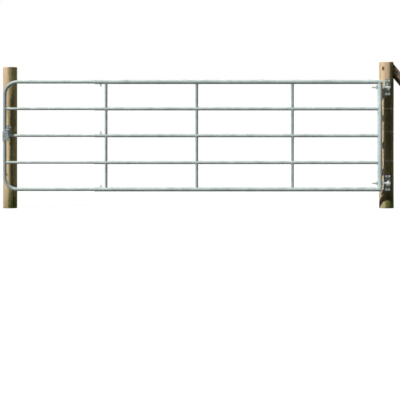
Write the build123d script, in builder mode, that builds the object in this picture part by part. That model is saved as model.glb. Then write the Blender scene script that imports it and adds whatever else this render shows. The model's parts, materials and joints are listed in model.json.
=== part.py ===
from build123d import *
import os
from math import asin, cos, degrees, hypot, radians, sin, sqrt, tan

# Five-rail field gate of adjustable length, hung in front of two round timber posts.
# Millimetres. X runs along the closed gate, with the hinges at X 0 and the latch at negative X.
# Y runs from the front to the back and Z is up. The origin is the middle of the hinge post's foot.

# Gate as a whole
gate_height = 1100.0  # outside of the bottom rail to outside of the top rail
ground_clearance = 170.0  # under the bottom rail
rail_count = 5
gate_plane_y = -122.0  # every rail axis and both hinge pins lie in this plane

# Tubes, outside diameter and wall
main_tube_d = 42.4  # top and bottom rail of the leaf
main_tube_wall = 2.6
rail_tube_d = 33.7  # the rails between them
rail_tube_wall = 2.6
stile_tube_d = 48.3  # upright tube at the hinge side
stile_tube_wall = 2.9
upright_tube_d = 26.9
upright_tube_wall = 2.3
frame_tube_wall = 2.6  # bent tube of the extension
extension_rail_wall = 2.3

# Clearances
main_slide_gap = 1.75  # all round the bent tube inside the top and bottom rails
rail_slide_gap = 0.8  # all round the sliding rails inside the rails between
weld_gap = 0.3  # from a coped or welded piece to what it is welded to
seat_gap = 0.3  # from a loose piece to its seat
bore_gap = 0.4  # all round a pin or bolt in its hole
latch_gap = 5.0  # from the hook to the staple that it drops over

# Places along the leaf
hinge_offset = 83.0  # hinge pins to the axis of the stile
upright_places = (861.0, 1803.0, 2695.7)  # stile to each upright
leaf_length = 2810.5  # stile to the open ends of the leaf's tubes
lock_screw_inset = 62.0  # open ends to the lock screws
stile_saddle = 10.0  # the stile is cut this far from the axes of the rails that it meets
end_cap_thickness = 3.0
end_cap_depth = 12.0

# Extension
extension_reach = 883.5  # open ends of the leaf's tubes to the axis of the extension's stile
extension_overlap = 570.5  # length of each sliding tube that is still inside the leaf
frame_bend_r = 125.0

# Posts
hinge_post_d = 146.0
hinge_post_height = 1450.0
latch_post_d = 142.0
latch_post_height = 1400.0
latch_post_offset = 34.0  # extension's stile to the axis of the latch post
post_chamfer = 6.0
brace_d = 95.0
brace_angle = 50.0  # from the ground
brace_drop = 85.0  # top of the post to where the brace's axis meets it
brace_seat_depth = 6.0

# Hinges
top_hinge_drop = 52.0  # axis of the top rail down to the top eye bolt
bottom_hinge_rise = 61.0  # axis of the bottom rail up to the bottom eye bolt
hinge_plate_width = 54.0
hinge_plate_height = 160.0
hinge_plate_thickness = 6.0
hinge_plate_corner = 5.0
hinge_hole_d = 11.0
hinge_hole_margin = 14.0  # hole centres in from the plate's edges
hinge_lug_width = 40.0
hinge_lug_thickness = 12.0
hinge_rib_thickness = 8.0
hinge_rib_height = 38.0
hinge_pin_d = 20.0
hinge_pin_proud = 14.0  # past the eye
hinge_pin_chamfer = 3.0
seat_pocket_gap = 2.0  # above and below a plate in the flat that is cut for it
eye_d = 42.0
eye_height = 25.0
eye_chamfer = 2.5
bolt_d = 20.0
bolt_tail = 55.0  # past the stile
bolt_chamfer = 2.0
bolt_nut_across = 30.0
bolt_nut_height = 16.0

# Lock screws
lock_screw_d = 10.0
lock_screw_head_across = 17.0
lock_screw_head_height = 7.0
lock_screw_neck = 8.0  # bare thread between the head and the welded nut
lock_nut_across = 19.0
lock_nut_height = 9.0

# Latch: a hook on the extension that is thrown over the top and drops behind a staple
latch_plate_width = 63.0
latch_plate_height = 99.0
latch_plate_thickness = 5.0
latch_plate_corner = 6.0
latch_plate_top = 45.0  # above the axis of the middle rail
latch_ear_thickness = 5.0
latch_ear_depth = 30.0  # height of an ear where it leaves the plate
latch_ear_r = 12.0
hook_pivot_reach = 38.0  # gate plane to the pivot, towards the front
hook_pivot_rise = 58.0  # axis of the middle rail up to the pivot
hook_pin_d = 10.0
hook_pin_head_d = 16.0
hook_pin_head = 4.0
hook_thickness = 8.0
hook_side_gap = 1.0
hook_width = 16.0
hook_eye_r = 11.0
hook_tip_thickness = 7.5
hook_tip_turn = 26.0  # degrees that the tip reaches below the arm once it has dropped
latch_bolt_d = 8.0
latch_bolt_head_across = 13.0
latch_bolt_head_height = 5.5
latch_nut_height = 6.5
latch_bolt_drops = (20.0, 80.0)  # below the top edge of the plate

# Striker on the latch post
striker_width = 50.0
striker_height = 110.0
striker_thickness = 5.0
striker_corner = 5.0
striker_hole_d = 9.0
striker_hole_margin = 13.0
staple_bar = 8.0  # square bar
staple_width = 34.0  # between the axes of its legs
staple_depth = 20.0  # clear depth behind the bar
staple_bend_r = 4.0  # inside its corners

# Levels and places that follow from the sizes above
bottom_rail_z = ground_clearance + main_tube_d / 2
top_rail_z = ground_clearance + gate_height - main_tube_d / 2
rail_pitch = (top_rail_z - bottom_rail_z) / (rail_count - 1)
inner_rail_z = [bottom_rail_z + rail_pitch * i for i in range(1, rail_count - 1)]
rail_4_z, rail_3_z, rail_2_z = inner_rail_z
frame_tube_d = main_tube_d - 2 * main_tube_wall - 2 * main_slide_gap
extension_rail_d = rail_tube_d - 2 * rail_tube_wall - 2 * rail_slide_gap

stile_x = -hinge_offset
leaf_end_x = stile_x - leaf_length
leaf_right_x = stile_x + stile_tube_d / 2
lock_screw_x = leaf_end_x + lock_screw_inset
latch_stile_x = leaf_end_x - extension_reach
inner_end_x = leaf_end_x + extension_overlap
latch_post_x = latch_stile_x + latch_post_offset

top_eye_z = top_rail_z - top_hinge_drop
bottom_eye_z = bottom_rail_z + bottom_hinge_rise
hinge_middle_plane = Plane.XY.offset((top_eye_z + bottom_eye_z) / 2)
hinge_flat_y = -sqrt((hinge_post_d / 2) ** 2 - (hinge_plate_width / 2) ** 2)
hinge_plate_front_y = hinge_flat_y - hinge_plate_thickness
lug_top_z = bottom_eye_z - eye_height / 2 - seat_gap

brace_slope_tan = tan(radians(brace_angle))
brace_seat_x = hinge_post_d / 2 - brace_seat_depth
brace_seat_z = hinge_post_height - brace_drop
brace_end_height = brace_d / cos(radians(brace_angle))
brace_fall = brace_seat_depth * brace_slope_tan  # across the depth of the flat
seat_foot_z = brace_seat_z - brace_end_height / 2 - brace_fall - seat_pocket_gap
brace_run = brace_seat_z / brace_slope_tan

latch_face_y = gate_plane_y - frame_tube_d / 2 - weld_gap  # back of the latch plate
latch_plate_front_y = latch_face_y - latch_plate_thickness
latch_plate_top_z = rail_3_z + latch_plate_top
latch_plate_x = latch_post_x + hook_side_gap + hook_thickness / 2 + latch_ear_thickness
pivot_y = gate_plane_y - hook_pivot_reach
pivot_z = rail_3_z + hook_pivot_rise

striker_flat_y = -sqrt((latch_post_d / 2) ** 2 - (striker_width / 2) ** 2)
striker_front_y = striker_flat_y - striker_thickness
staple_back_y = striker_front_y - staple_depth
staple_z = pivot_z - hook_width / 2 - latch_gap - staple_bar / 2
staple_reach = hypot(staple_back_y - pivot_y, staple_z - staple_bar / 2 - pivot_z)
hook_inner_r = staple_reach + latch_gap
hook_outer_r = hook_inner_r + hook_tip_thickness


def tube_section(outside_d, wall):
    """Section of a tube, at each location of the sketch it is called in."""
    Circle(outside_d / 2)
    Circle(outside_d / 2 - wall, mode=Mode.SUBTRACT)


# Timber posts, from the ground up
with BuildPart() as hinge_post:
    with BuildSketch():
        Circle(hinge_post_d / 2)
    extrude(amount=hinge_post_height)
    chamfer(hinge_post.faces().sort_by(Axis.Z)[-1].edges(), post_chamfer)
    # flats for the two hinge plates
    with BuildSketch(Plane.XZ.offset(-hinge_flat_y)):
        with Locations((0, top_eye_z), (0, bottom_eye_z)):
            Rectangle(hinge_post_d, hinge_plate_height + 2 * seat_pocket_gap)
    extrude(amount=hinge_post_d, mode=Mode.SUBTRACT)
    # flat on the right that the brace leans on
    with BuildSketch(Plane.YZ.offset(brace_seat_x)):
        with Locations((0, seat_foot_z)):
            Rectangle(hinge_post_d, hinge_post_height, align=(Align.CENTER, Align.MIN))
    extrude(amount=hinge_post_d, mode=Mode.SUBTRACT)

with BuildPart() as latch_post:
    with BuildSketch():
        with Locations((latch_post_x, 0)):
            Circle(latch_post_d / 2)
    extrude(amount=latch_post_height)
    chamfer(latch_post.faces().sort_by(Axis.Z)[-1].edges(), post_chamfer)
    with BuildSketch(Plane.XZ.offset(-striker_flat_y)):
        with Locations((latch_post_x, staple_z)):
            Rectangle(latch_post_d, striker_height + 2 * seat_pocket_gap)
    extrude(amount=latch_post_d, mode=Mode.SUBTRACT)

# Round brace, cut upright where it meets the post and level where it meets the ground
brace_slope = Vector(cos(radians(brace_angle)), 0, -sin(radians(brace_angle)))
with BuildPart() as hinge_post_brace:
    brace_start = Vector(brace_seat_x, 0, brace_seat_z) - brace_slope * brace_d
    with BuildSketch(Plane(brace_start, z_dir=brace_slope)):
        Circle(brace_d / 2)
    extrude(amount=hypot(brace_run, brace_seat_z) + 3 * brace_d)
    split(bisect_by=Plane.YZ.offset(brace_seat_x), keep=Keep.TOP)
    split(bisect_by=Plane.XY, keep=Keep.TOP)

# Hinge plates, each with a welded lug and rib that carry the pin
with BuildPart() as hinge_plates:
    with BuildSketch(Plane.XZ.offset(-hinge_flat_y)):
        with Locations((0, bottom_eye_z)):
            RectangleRounded(hinge_plate_width, hinge_plate_height, hinge_plate_corner)
            with GridLocations(
                hinge_plate_width - 2 * hinge_hole_margin,
                hinge_plate_height - 2 * hinge_hole_margin,
                2,
                2,
            ):
                Circle(hinge_hole_d / 2, mode=Mode.SUBTRACT)
    extrude(amount=hinge_plate_thickness)
    with BuildSketch(Plane.XY.offset(lug_top_z)):
        with Locations((0, gate_plane_y)):
            Circle(hinge_lug_width / 2)
            Rectangle(
                hinge_lug_width,
                hinge_plate_front_y - gate_plane_y,
                align=(Align.CENTER, Align.MIN),
            )
            Circle(hinge_pin_d / 2 + weld_gap, mode=Mode.SUBTRACT)
    extrude(amount=-hinge_lug_thickness)
    with BuildSketch(Plane.YZ):
        with BuildLine():
            rib_top_z = lug_top_z - hinge_lug_thickness
            rib_tip_y = gate_plane_y + hinge_pin_d / 2 + hinge_rib_thickness / 2
            Polyline(
                (hinge_plate_front_y, rib_top_z),
                (rib_tip_y, rib_top_z),
                (hinge_plate_front_y, rib_top_z - hinge_rib_height),
                close=True,
            )
        make_face()
    extrude(amount=hinge_rib_thickness / 2, both=True)
    mirror(about=hinge_middle_plane)

# Hinge pins: the lower one points up and the upper one points down, so the gate stays on
with BuildPart() as hinge_pins:
    pin_foot_z = lug_top_z - hinge_lug_thickness
    pin_top_z = bottom_eye_z + eye_height / 2 + hinge_pin_proud
    with BuildSketch(Plane.XY.offset(pin_foot_z)):
        with Locations((0, gate_plane_y)):
            Circle(hinge_pin_d / 2)
    extrude(amount=pin_top_z - pin_foot_z)
    chamfer(hinge_pins.faces().sort_by(Axis.Z)[-1].edges(), hinge_pin_chamfer)
    mirror(about=hinge_middle_plane)

# Leaf: stile, top and bottom rail, three rails between them and three uprights
with BuildPart() as hinge_stile:
    with BuildSketch(Plane.XY.offset(bottom_rail_z + stile_saddle)):
        with Locations((stile_x, gate_plane_y)):
            tube_section(stile_tube_d, stile_tube_wall)
    extrude(amount=top_rail_z - bottom_rail_z - 2 * stile_saddle)
    # saddles for the top and bottom rails, then the holes for the eye bolts
    with BuildSketch(Plane.YZ.offset(stile_x)):
        with Locations((gate_plane_y, bottom_rail_z), (gate_plane_y, top_rail_z)):
            Circle(main_tube_d / 2 + weld_gap)
        with Locations((gate_plane_y, bottom_eye_z), (gate_plane_y, top_eye_z)):
            Circle(bolt_d / 2 + bore_gap)
    extrude(amount=stile_tube_d, both=True, mode=Mode.SUBTRACT)

with BuildPart() as leaf_top_rail:
    with BuildSketch(Plane.YZ.offset(leaf_end_x)):
        with Locations((gate_plane_y, top_rail_z)):
            tube_section(main_tube_d, main_tube_wall)
    extrude(amount=leaf_right_x - leaf_end_x)
    # hole for the lock screw, in the underside
    with BuildSketch(Plane.XY.offset(top_rail_z)):
        with Locations((lock_screw_x, gate_plane_y)):
            Circle(lock_screw_d / 2 + bore_gap)
    extrude(amount=-main_tube_d, mode=Mode.SUBTRACT)

with BuildPart() as leaf_bottom_rail:
    with BuildSketch(Plane.YZ.offset(leaf_end_x)):
        with Locations((gate_plane_y, bottom_rail_z)):
            tube_section(main_tube_d, main_tube_wall)
    extrude(amount=leaf_right_x - leaf_end_x)
    # hole for the lock screw, in the upper side
    with BuildSketch(Plane.XY.offset(bottom_rail_z)):
        with Locations((lock_screw_x, gate_plane_y)):
            Circle(lock_screw_d / 2 + bore_gap)
    extrude(amount=main_tube_d, mode=Mode.SUBTRACT)

with BuildPart() as leaf_rail_2:
    with BuildSketch(Plane.YZ.offset(leaf_end_x)):
        with Locations((gate_plane_y, rail_2_z)):
            tube_section(rail_tube_d, rail_tube_wall)
    extrude(amount=stile_x - leaf_end_x)
    with BuildSketch(Plane.XY.offset(rail_2_z)):
        with Locations((stile_x, gate_plane_y)):
            Circle(stile_tube_d / 2 + weld_gap)
    extrude(amount=rail_tube_d, both=True, mode=Mode.SUBTRACT)

with BuildPart() as leaf_rail_3:
    add(leaf_rail_2.part.moved(Pos(0, 0, rail_3_z - rail_2_z)))
    with BuildSketch(Plane.XY.offset(rail_3_z)):
        with Locations((lock_screw_x, gate_plane_y)):
            Circle(lock_screw_d / 2 + bore_gap)
    extrude(amount=rail_tube_d, mode=Mode.SUBTRACT)

with BuildPart() as leaf_rail_4:
    add(leaf_rail_2.part.moved(Pos(0, 0, rail_4_z - rail_2_z)))

# Each upright is four lengths of tube, coped to the rails above and below
with BuildPart() as upright_near_hinge:
    upright_x = stile_x - upright_places[0]
    with BuildSketch(Plane.XY.offset(bottom_rail_z)):
        with Locations((upright_x, gate_plane_y)):
            tube_section(upright_tube_d, upright_tube_wall)
    extrude(amount=top_rail_z - bottom_rail_z)
    with BuildSketch(Plane.YZ.offset(upright_x)):
        with Locations((gate_plane_y, bottom_rail_z), (gate_plane_y, top_rail_z)):
            Circle(main_tube_d / 2 + weld_gap)
        with Locations([(gate_plane_y, z) for z in inner_rail_z]):
            Circle(rail_tube_d / 2 + weld_gap)
    extrude(amount=upright_tube_d, both=True, mode=Mode.SUBTRACT)

with BuildPart() as upright_middle:
    add(upright_near_hinge.part.moved(Pos(upright_places[0] - upright_places[1], 0, 0)))

with BuildPart() as upright_near_end:
    add(upright_near_hinge.part.moved(Pos(upright_places[0] - upright_places[2], 0, 0)))

# Caps that close the right-hand ends of the top and bottom rails
with BuildPart() as rail_end_caps:
    cap_places = [(gate_plane_y, bottom_rail_z), (gate_plane_y, top_rail_z)]
    with BuildSketch(Plane.YZ.offset(leaf_right_x)):
        with Locations(cap_places):
            Circle(main_tube_d / 2)
    extrude(amount=end_cap_thickness)
    with BuildSketch(Plane.YZ.offset(leaf_right_x)):
        with Locations(cap_places):
            Circle(main_tube_d / 2 - main_tube_wall - seat_gap)
    extrude(amount=-end_cap_depth)

# Adjustable eye bolts through the stile, with a nut on each side of it
with BuildPart() as eye_bolts:
    with BuildSketch(Plane.XY.offset(bottom_eye_z)):
        with Locations((0, gate_plane_y)):
            Circle(eye_d / 2)
    extrude(amount=eye_height / 2, both=True)
    chamfer(eye_bolts.edges().filter_by(GeomType.CIRCLE), eye_chamfer)
    bolt_end_x = stile_x - stile_tube_d / 2 - bolt_tail
    with BuildSketch(Plane.YZ.offset(bolt_end_x)):
        with Locations((gate_plane_y, bottom_eye_z)):
            Circle(bolt_d / 2)
    extrude(amount=-bolt_end_x - hinge_pin_d / 2)
    chamfer(eye_bolts.faces().sort_by(Axis.X)[0].edges(), bolt_chamfer)
    with BuildSketch(Plane.XY.offset(bottom_eye_z)):
        with Locations((0, gate_plane_y)):
            Circle(hinge_pin_d / 2 + bore_gap)
    extrude(amount=eye_height, both=True, mode=Mode.SUBTRACT)
    mirror(about=hinge_middle_plane)

with BuildPart() as eye_bolt_nuts:
    nut_r = bolt_nut_across / sqrt(3)
    for face_x, outwards in ((stile_x + stile_tube_d / 2, 1), (stile_x - stile_tube_d / 2, -1)):
        with BuildSketch(Plane.YZ.offset(face_x + outwards * seat_gap)):
            with Locations((gate_plane_y, bottom_eye_z), (gate_plane_y, top_eye_z)):
                RegularPolygon(nut_r, 6)
                Circle(bolt_d / 2 + seat_gap, mode=Mode.SUBTRACT)
        extrude(amount=outwards * bolt_nut_height)

# Lock screws: under the top rail, and above the middle and bottom rails
main_lock_z = main_tube_d / 2 + weld_gap  # rail axis to the welded nut
rail_lock_z = rail_tube_d / 2 + weld_gap
with BuildPart() as lock_nuts:
    nut_r = lock_nut_across / sqrt(3)
    for nut_z, upwards in (
        (bottom_rail_z + main_lock_z, 1),
        (rail_3_z + rail_lock_z, 1),
        (top_rail_z - main_lock_z, -1),
    ):
        with BuildSketch(Plane.XY.offset(nut_z)):
            with Locations((lock_screw_x, gate_plane_y)):
                RegularPolygon(nut_r, 6)
                Circle(lock_screw_d / 2 + seat_gap, mode=Mode.SUBTRACT)
        extrude(amount=upwards * lock_nut_height)

with BuildPart() as lock_screws:
    head_r = lock_screw_head_across / sqrt(3)
    for axis_z, nut_side, inner_d, upwards in (
        (bottom_rail_z, main_lock_z, frame_tube_d, 1),
        (rail_3_z, rail_lock_z, extension_rail_d, 1),
        (top_rail_z, main_lock_z, frame_tube_d, -1),
    ):
        tip = inner_d / 2 + seat_gap
        head = nut_side + lock_nut_height + lock_screw_neck
        with BuildSketch(Plane.XY.offset(axis_z + upwards * tip)):
            with Locations((lock_screw_x, gate_plane_y)):
                Circle(lock_screw_d / 2)
        extrude(amount=upwards * (head - tip))
        with BuildSketch(Plane.XY.offset(axis_z + upwards * head)):
            with Locations((lock_screw_x, gate_plane_y)):
                RegularPolygon(head_r, 6)
        extrude(amount=upwards * lock_screw_head_height)

# Extension: one bent tube slides in the top and bottom rails, three rails in the others
bend_x = latch_stile_x + frame_bend_r
with BuildPart() as extension_frame:
    with BuildSketch(Plane.YZ.offset(bend_x)):
        with Locations((gate_plane_y, bottom_rail_z), (gate_plane_y, top_rail_z)):
            tube_section(frame_tube_d, frame_tube_wall)
    extrude(amount=inner_end_x - bend_x)
    with BuildSketch(Plane.XY.offset(bottom_rail_z + frame_bend_r)):
        with Locations((latch_stile_x, gate_plane_y)):
            tube_section(frame_tube_d, frame_tube_wall)
    extrude(amount=top_rail_z - bottom_rail_z - 2 * frame_bend_r)
    for leg_z, upwards in ((bottom_rail_z, 1), (top_rail_z, -1)):
        bend_axis = Axis((bend_x, gate_plane_y, leg_z + upwards * frame_bend_r), (0, upwards, 0))
        with BuildSketch(Plane.YZ.offset(bend_x)):
            with Locations((gate_plane_y, leg_z)):
                tube_section(frame_tube_d, frame_tube_wall)
        revolve(axis=bend_axis, revolution_arc=90)
    # holes for the bolts of the latch plate
    with BuildSketch(Plane.XZ.offset(-gate_plane_y)):
        with Locations([(latch_stile_x, latch_plate_top_z - d) for d in latch_bolt_drops]):
            Circle(latch_bolt_d / 2 + bore_gap)
    extrude(amount=frame_tube_d, both=True, mode=Mode.SUBTRACT)

with BuildPart() as extension_rail_2:
    with BuildSketch(Plane.YZ.offset(latch_stile_x)):
        with Locations((gate_plane_y, rail_2_z)):
            tube_section(extension_rail_d, extension_rail_wall)
    extrude(amount=inner_end_x - latch_stile_x)
    with BuildSketch(Plane.XY.offset(rail_2_z)):
        with Locations((latch_stile_x, gate_plane_y)):
            Circle(frame_tube_d / 2 + weld_gap)
    extrude(amount=extension_rail_d, both=True, mode=Mode.SUBTRACT)

with BuildPart() as extension_rail_3:
    add(extension_rail_2.part.moved(Pos(0, 0, rail_3_z - rail_2_z)))

with BuildPart() as extension_rail_4:
    add(extension_rail_2.part.moved(Pos(0, 0, rail_4_z - rail_2_z)))

# Latch plate bolted to the front of the extension's stile, with two ears for the hook's pin
with BuildPart() as latch_bracket:
    with BuildSketch(Plane.XZ.offset(-latch_face_y)):
        with Locations((latch_plate_x, latch_plate_top_z)):
            RectangleRounded(
                latch_plate_width,
                latch_plate_height,
                latch_plate_corner,
                align=(Align.MAX, Align.MAX),
            )
        with Locations([(latch_stile_x, latch_plate_top_z - d) for d in latch_bolt_drops]):
            Circle(latch_bolt_d / 2 + bore_gap, mode=Mode.SUBTRACT)
    extrude(amount=latch_plate_thickness)
    ear_offset = hook_thickness / 2 + hook_side_gap
    for ear_x, outwards in ((latch_post_x - ear_offset, -1), (latch_post_x + ear_offset, 1)):
        with BuildSketch(Plane.YZ.offset(ear_x)):
            with Locations((pivot_y, pivot_z)):
                Circle(latch_ear_r)
            with Locations((latch_plate_front_y, latch_plate_top_z - latch_plate_corner)):
                Rectangle(1, latch_ear_depth, align=(Align.MAX, Align.MAX))
            make_hull()
        extrude(amount=outwards * latch_ear_thickness)
    with BuildSketch(Plane.YZ.offset(latch_post_x)):
        with Locations((pivot_y, pivot_z)):
            Circle(hook_pin_d / 2 + bore_gap)
    extrude(amount=latch_plate_width, both=True, mode=Mode.SUBTRACT)

with BuildPart() as latch_bracket_bolts:
    head_r = latch_bolt_head_across / sqrt(3)
    bolt_places = [(latch_stile_x, latch_plate_top_z - d) for d in latch_bolt_drops]
    stile_back_y = gate_plane_y + frame_tube_d / 2
    with BuildSketch(Plane.XZ.offset(-latch_plate_front_y)):
        with Locations(bolt_places):
            RegularPolygon(head_r, 6)
    extrude(amount=latch_bolt_head_height)
    with BuildSketch(Plane.XZ.offset(-latch_plate_front_y)):
        with Locations(bolt_places):
            Circle(latch_bolt_d / 2)
    extrude(amount=latch_plate_front_y - stile_back_y - seat_gap)
    with BuildSketch(Plane.XZ.offset(-stile_back_y - seat_gap)):
        with Locations(bolt_places):
            RegularPolygon(head_r, 6)
    extrude(amount=-latch_nut_height)

with BuildPart() as latch_pivot_pin:
    pin_half = hook_thickness / 2 + hook_side_gap + latch_ear_thickness + seat_gap
    with BuildSketch(Plane.YZ.offset(latch_post_x - pin_half)):
        with Locations((pivot_y, pivot_z)):
            Circle(hook_pin_d / 2)
    extrude(amount=2 * pin_half)
    with BuildSketch(Plane.YZ.offset(latch_post_x + pin_half)):
        with Locations((pivot_y, pivot_z)):
            Circle(hook_pin_head_d / 2)
    extrude(amount=hook_pin_head)
    with BuildSketch(Plane.YZ.offset(latch_post_x - pin_half)):
        with Locations((pivot_y, pivot_z)):
            Circle(hook_pin_head_d / 2)
    extrude(amount=-hook_pin_head)

# Hook, hanging open in front of the gate: it is drawn along its own arm, with the pivot at 0, 0
hook_plane = Plane(
    origin=(latch_post_x - hook_thickness / 2, pivot_y, pivot_z),
    x_dir=(0, 0, -1),
    z_dir=(1, 0, 0),
)
with BuildPart() as latch_hook:
    with BuildSketch(hook_plane):
        Circle(hook_eye_r)
        Rectangle(
            (hook_inner_r + hook_outer_r) / 2, hook_width, align=(Align.MIN, Align.CENTER)
        )
        arm_turn = degrees(asin(hook_width / 2 / hook_outer_r))
        with BuildLine():
            outer = CenterArc((0, 0), hook_outer_r, -hook_tip_turn, hook_tip_turn + arm_turn)
            inner = CenterArc((0, 0), hook_inner_r, -hook_tip_turn, hook_tip_turn + arm_turn)
            Line(outer @ 0, inner @ 0)
            Line(outer @ 1, inner @ 1)
        make_face()
        Circle(hook_pin_d / 2 + bore_gap, mode=Mode.SUBTRACT)
    extrude(amount=hook_thickness)

# Striker on the latch post: a plate with a bent staple welded to it
with BuildPart() as latch_striker:
    with BuildSketch(Plane.XZ.offset(-striker_flat_y)):
        with Locations((latch_post_x, staple_z)):
            RectangleRounded(striker_width, striker_height, striker_corner)
            with GridLocations(
                striker_width - 2 * striker_hole_margin,
                striker_height - 2 * striker_hole_margin,
                2,
                2,
            ):
                Circle(striker_hole_d / 2, mode=Mode.SUBTRACT)
    extrude(amount=striker_thickness)
    with BuildSketch(Plane.XY.offset(staple_z)):
        with Locations((latch_post_x, striker_front_y)):
            RectangleRounded(
                staple_width + staple_bar,
                2 * (staple_depth + staple_bar),
                staple_bend_r + staple_bar,
            )
            RectangleRounded(
                staple_width - staple_bar, 2 * staple_depth, staple_bend_r, mode=Mode.SUBTRACT
            )
            Rectangle(
                2 * staple_width,
                2 * (staple_depth + staple_bar),
                align=(Align.CENTER, Align.MIN),
                mode=Mode.SUBTRACT,
            )
    extrude(amount=staple_bar / 2, both=True)

parts = {
    "hinge_post": hinge_post,
    "latch_post": latch_post,
    "hinge_post_brace": hinge_post_brace,
    "hinge_plates": hinge_plates,
    "hinge_pins": hinge_pins,
    "latch_striker": latch_striker,
    "hinge_stile": hinge_stile,
    "leaf_top_rail": leaf_top_rail,
    "leaf_rail_2": leaf_rail_2,
    "leaf_rail_3": leaf_rail_3,
    "leaf_rail_4": leaf_rail_4,
    "leaf_bottom_rail": leaf_bottom_rail,
    "upright_near_hinge": upright_near_hinge,
    "upright_middle": upright_middle,
    "upright_near_end": upright_near_end,
    "rail_end_caps": rail_end_caps,
    "eye_bolts": eye_bolts,
    "eye_bolt_nuts": eye_bolt_nuts,
    "lock_nuts": lock_nuts,
    "lock_screws": lock_screws,
    "extension_frame": extension_frame,
    "extension_rail_2": extension_rail_2,
    "extension_rail_3": extension_rail_3,
    "extension_rail_4": extension_rail_4,
    "latch_bracket": latch_bracket,
    "latch_bracket_bolts": latch_bracket_bolts,
    "latch_pivot_pin": latch_pivot_pin,
    "latch_hook": latch_hook,
}

os.makedirs("parts", exist_ok=True)
for name, builder in parts.items():
    builder.part.label = name
    export_step(builder.part, f"parts/{name}.step")
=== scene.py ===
import json
from math import cos, exp, pi, radians, sin, sqrt, tan

import bmesh
import bpy
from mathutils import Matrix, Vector, noise

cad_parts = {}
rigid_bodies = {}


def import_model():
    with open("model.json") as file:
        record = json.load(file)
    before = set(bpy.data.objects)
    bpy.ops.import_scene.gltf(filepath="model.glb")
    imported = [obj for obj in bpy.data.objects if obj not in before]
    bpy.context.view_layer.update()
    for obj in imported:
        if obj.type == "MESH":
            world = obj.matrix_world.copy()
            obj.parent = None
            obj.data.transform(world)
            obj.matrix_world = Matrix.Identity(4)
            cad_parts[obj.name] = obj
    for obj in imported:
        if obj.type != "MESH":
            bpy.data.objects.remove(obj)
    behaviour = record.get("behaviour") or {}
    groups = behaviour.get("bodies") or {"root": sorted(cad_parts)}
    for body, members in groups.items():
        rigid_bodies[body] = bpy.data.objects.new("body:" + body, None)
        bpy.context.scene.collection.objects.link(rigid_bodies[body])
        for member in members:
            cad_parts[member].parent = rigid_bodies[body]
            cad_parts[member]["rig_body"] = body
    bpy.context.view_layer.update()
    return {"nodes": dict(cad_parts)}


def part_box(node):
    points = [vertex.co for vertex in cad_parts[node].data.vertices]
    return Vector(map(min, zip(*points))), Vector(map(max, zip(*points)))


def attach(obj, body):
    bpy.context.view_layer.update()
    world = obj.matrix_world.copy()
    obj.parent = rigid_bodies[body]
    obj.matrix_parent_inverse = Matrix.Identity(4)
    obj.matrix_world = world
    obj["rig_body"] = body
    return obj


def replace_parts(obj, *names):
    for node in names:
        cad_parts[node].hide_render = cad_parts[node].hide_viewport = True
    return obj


# Looks for the five-rail field gate: timber posts, galvanised tubes, hinges, throw-over latch.
# Metres, in the frame of the CAD: X along the gate, Y towards the back, Z up.

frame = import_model()
scene = bpy.context.scene
nodes = frame["nodes"]
full_turn = 2 * pi
up, right, back = Vector((0, 0, 1)), Vector((1, 0, 0)), Vector((0, 1, 0))


def span(node):
    """Lowest and highest corner of a CAD node, as vectors."""
    low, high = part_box(node)
    return Vector(low), Vector(high)


def middle(node):
    low, high = span(node)
    return (low + high) / 2


def half_width(node, axis):
    """Half of a CAD node's size along axis 0, 1 or 2, which is X, Y or Z."""
    low, high = span(node)
    return (high[axis] - low[axis]) / 2


# Sizes, from the frame
gate_y = middle("hinge_stile").y
top_z = middle("leaf_top_rail").z
bottom_z = middle("leaf_bottom_rail").z
main_r = half_width("leaf_top_rail", 2)
inner_z = [middle(rail).z for rail in ("leaf_rail_2", "leaf_rail_3", "leaf_rail_4")]
inner_r = half_width("leaf_rail_3", 2)
uprights = ("upright_near_hinge", "upright_middle", "upright_near_end")
upright_x = [middle(upright).x for upright in uprights]
upright_r = half_width("upright_middle", 0)
stile_x = middle("hinge_stile").x
stile_r = span("hinge_stile")[1].x - stile_x
slide_r = half_width("extension_rail_3", 2)
bent_r = half_width("extension_frame", 1)
latch_stile_x = span("extension_frame")[0].x + bent_r

hinge_post_r = -span("hinge_post")[0].x
hinge_post_h = span("hinge_post")[1].z
latch_post_x = middle("latch_post").x
latch_post_r = span("latch_post")[1].x - latch_post_x
latch_post_h = span("latch_post")[1].z
brace_seat_x = span("hinge_post_brace")[0].x
brace_r = half_width("hinge_post_brace", 1)
brace_angle = radians(50.0)
brace_drop = 0.085

eye_height = 0.025
eye_levels = (span("eye_bolts")[0].z + eye_height / 2, span("eye_bolts")[1].z - eye_height / 2)
plate_height, plate_thick, striker_thick = 0.160, 0.006, 0.005
plate_back_y = span("hinge_plates")[1].y
plate_front_y = plate_back_y - plate_thick
plate_hole = (0.013, 0.066)
striker_low, striker_high = span("latch_striker")
striker_back_y = striker_high.y
striker_front_y = striker_back_y - striker_thick
striker_z = (striker_low.z + striker_high.z) / 2
striker_hole = (0.012, 0.042)


# Node helpers
def step(tree, kind, feeds=(), **settings):
    """Adds one node. Feeds are values or other nodes' sockets, for its inputs."""
    node = tree.nodes.new(kind)
    for key, value in settings.items():
        setattr(node, key, value)
    for key, value in dict(feeds).items():
        if isinstance(value, bpy.types.NodeSocket):
            tree.links.new(value, node.inputs[key])
        else:
            node.inputs[key].default_value = value
    return node


def made(tree, kind, feeds=(), **settings):
    """Adds one node, and gives its first output."""
    return step(tree, kind, feeds, **settings).outputs[0]


def reckon(tree, operation, *values):
    """One step of arithmetic on numbers or sockets."""
    return made(tree, "ShaderNodeMath", dict(enumerate(values)), operation=operation)


def plus(tree, first, second):
    return reckon(tree, "ADD", first, second)


def times(tree, first, second):
    return reckon(tree, "MULTIPLY", first, second)


def opaque(colour):
    """Red, green and blue as a full colour, or a socket as it is."""
    return colour if isinstance(colour, bpy.types.NodeSocket) else (*colour, 1.0)


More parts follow.
